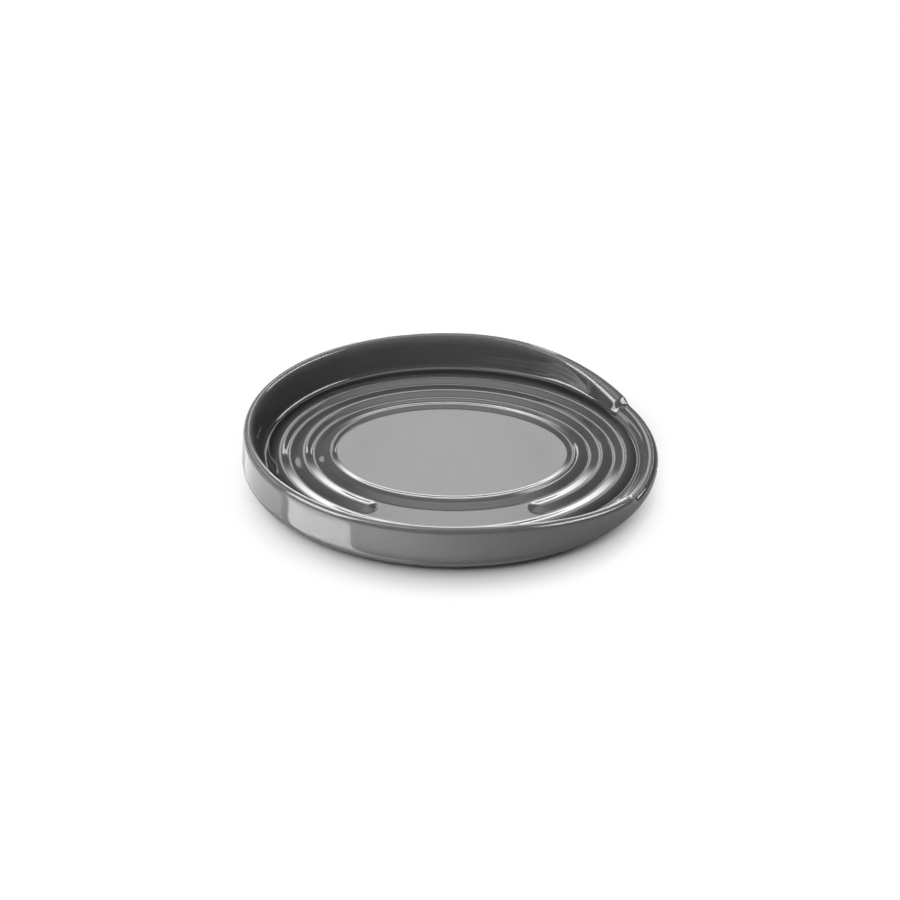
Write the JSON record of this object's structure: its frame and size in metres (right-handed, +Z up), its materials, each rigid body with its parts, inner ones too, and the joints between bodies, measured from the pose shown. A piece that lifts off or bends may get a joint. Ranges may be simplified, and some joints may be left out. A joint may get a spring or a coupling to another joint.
{
  "type": "spoon rest",
  "caption": "Shallow oval stoneware spoon rest with raised rings on its floor and a rim that sweeps down to a notch for the spoon's handle.",
  "frame": {"origin": "centre of the dish on the table, below the middle of its length and width", "axes": "+X along the length towards the notch for the spoon's handle, +Y across the width towards the back, +Z up"},
  "size_m": [0.1498, 0.1153, 0.0192],
  "materials": {
    "bare_stoneware": "matte",
    "grey_glaze": "gloss"
  },
  "bodies": {
    "root": {"stoneware_body": "bare_stoneware", "glaze_coat": "grey_glaze"}
  },
  "joints": []
}
